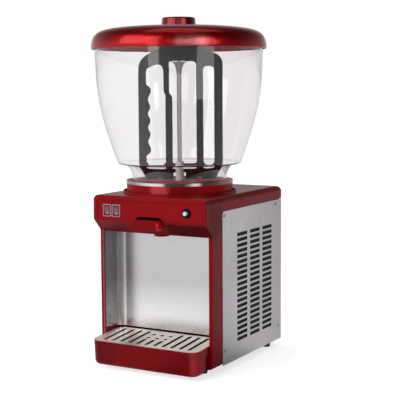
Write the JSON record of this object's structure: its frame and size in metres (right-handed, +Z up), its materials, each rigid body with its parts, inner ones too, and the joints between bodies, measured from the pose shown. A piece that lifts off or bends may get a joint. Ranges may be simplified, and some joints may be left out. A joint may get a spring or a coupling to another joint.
{
  "type": "hot chocolate dispenser",
  "caption": "Countertop hot drink dispenser with a clear stirred bowl under a red lid, a heated floor, one push lever tap, a drip tray and louvred steel sides",
  "frame": {"origin": "centre of the bounding box, on the surface that the feet stand on", "axes": "+Z up along the bowl's axis, +X to the right as seen from the front, -Y towards the person who draws a drink"},
  "size_m": [0.3974, 0.4391, 0.788],
  "materials": {
    "red_enamel": "satin red enamel",
    "red_plastic": "glossy red moulding",
    "lid_red": "glossy deep red, slightly clear",
    "clear_bowl": "clear polycarbonate with a pale grey tint",
    "paddle_grey": "satin dark grey moulding",
    "black_plastic": "satin black moulding",
    "switch_bezel": "smoky clear moulding",
    "switch_lens": "glossy red lens",
    "knob_cap": "glossy pale grey cap",
    "louvred_steel": "brushed stainless sheet",
    "splash_steel": "bright stainless sheet",
    "grille_steel": "satin stainless plate",
    "zinc_sheet": "zinc-plated steel sheet",
    "stainless": "turned or drawn stainless steel",
    "band_steel": "polished stainless band",
    "screw_steel": "bright plated screws",
    "white_plastic": "white acetal",
    "heater_sheath": "dull metal sheath",
    "copper": "bare copper tube",
    "silicone": "milky silicone",
    "seal_silicone": "red-brown silicone",
    "coated_floor": "red-brown non-stick coating on a pressed plate",
    "foot_rubber": "black rubber",
    "motor_paint": "dark grey castings",
    "label_white": "blank paper label"
  },
  "bodies": {
    "cabinet": {"base_pan": "zinc_sheet", "blank_label": "label_white", "bowl_seal": "seal_silicone", "cabinet_screws": "screw_steel", "control_fascia": "red_enamel", "drive_motor": "motor_paint", "fan_frame": "black_plastic", "fan_screws": "screw_steel", "foot_front_left": "foot_rubber", "foot_front_right": "foot_rubber", "foot_rear_left": "foot_rubber", "foot_rear_right": "foot_rubber", "front_frame": "red_enamel", "gearbox": "motor_paint", "heat_switch_housing": "switch_bezel", "heater_ring": "heater_sheath", "heating_floor": "coated_floor", "inner_screws": "screw_steel", "lever_pin_clip": "stainless", "lever_pivot_pin": "stainless", "lever_return_spring": "stainless", "mixer_switch_housing": "switch_bezel", "motor_bracket": "zinc_sheet", "outlet_tube": "silicone", "pedestal": "red_enamel", "power_inlet": "black_plastic", "rear_panel": "zinc_sheet", "riser_bush": "black_plastic", "riser_collar": "white_plastic", "riser_nut": "stainless", "riser_tube": "stainless", "side_panel_left": "louvred_steel", "side_panel_right": "louvred_steel", "splash_panel": "splash_steel", "spout": "red_plastic", "terminal_block": "white_plastic", "thermal_cutout": "heater_sheath", "thermostat": "black_plastic", "thermostat_bezel": "black_plastic", "thermostat_probe": "copper", "top_cover": "red_enamel", "valve_bracket": "zinc_sheet", "vent_filters": "black_plastic"},
    "agitator": {"drive_shaft": "stainless", "agitator_hub": "black_plastic", "agitator_paddle": "paddle_grey", "output_shaft": "stainless", "shaft_coupling": "white_plastic"},
    "bowl": {"bowl": "clear_bowl", "bowl_band": "band_steel"},
    "lid": {"lid": "lid_red", "lid_knob": "lid_red", "lid_knob_screw": "screw_steel"},
    "tap_lever": {"tap_lever": "red_plastic"},
    "heat_rocker": {"heat_switch_rocker": "switch_lens"},
    "mixer_rocker": {"mixer_switch_rocker": "switch_lens"},
    "thermostat_knob": {"thermostat_knob": "knob_cap"},
    "drip_tray": {"drip_tray": "red_plastic"},
    "drip_grille": {"drip_grille": "grille_steel"},
    "fan_rotor": {"fan_rotor": "black_plastic"}
  },
  "joints": [
    {"name": "bowl_lift", "type": "slide", "parent": "cabinet", "child": "bowl", "axis": [0, 0, 1], "range_m": [0, 0.35]},
    {"name": "lid_lift", "type": "slide", "parent": "bowl", "child": "lid", "axis": [0, 0, 1], "range_m": [0, 0.15]},
    {"name": "agitator_turn", "type": "hinge", "parent": "cabinet", "child": "agitator", "pos_m": [0, -0.02095, 0.5], "axis": [0, 0, 1], "continuous": true},
    {"name": "tap_lever_press", "type": "hinge", "parent": "cabinet", "child": "tap_lever", "pos_m": [0, -0.12045, 0.334], "axis": [1, 0, 0], "range_deg": [0, 15], "stiffness_Nm_per_rad": 0.8, "springref_deg": -20.05, "deforming": ["lever_return_spring"]},
    {"name": "heat_switch_rock", "type": "hinge", "parent": "cabinet", "child": "heat_rocker", "pos_m": [-0.1085, -0.15715, 0.358], "axis": [1, 0, 0], "range_deg": [-16, 0]},
    {"name": "mixer_switch_rock", "type": "hinge", "parent": "cabinet", "child": "mixer_rocker", "pos_m": [-0.0845, -0.15715, 0.358], "axis": [1, 0, 0], "range_deg": [-16, 0]},
    {"name": "thermostat_turn", "type": "hinge", "parent": "cabinet", "child": "thermostat_knob", "pos_m": [0.0956, -0.16045, 0.361], "axis": [0, 1, 0], "range_deg": [0, 270]},
    {"name": "tray_pull", "type": "slide", "parent": "cabinet", "child": "drip_tray", "axis": [0, -1, 0], "range_m": [0, 0.12]},
    {"name": "grille_lift", "type": "slide", "parent": "drip_tray", "child": "drip_grille", "axis": [0, 0, 1], "range_m": [0, 0.06]},
    {"name": "fan_turn", "type": "hinge", "parent": "cabinet", "child": "fan_rotor", "pos_m": [0.055, 0.19955, 0.19], "axis": [0, 1, 0], "continuous": true}
  ]
}
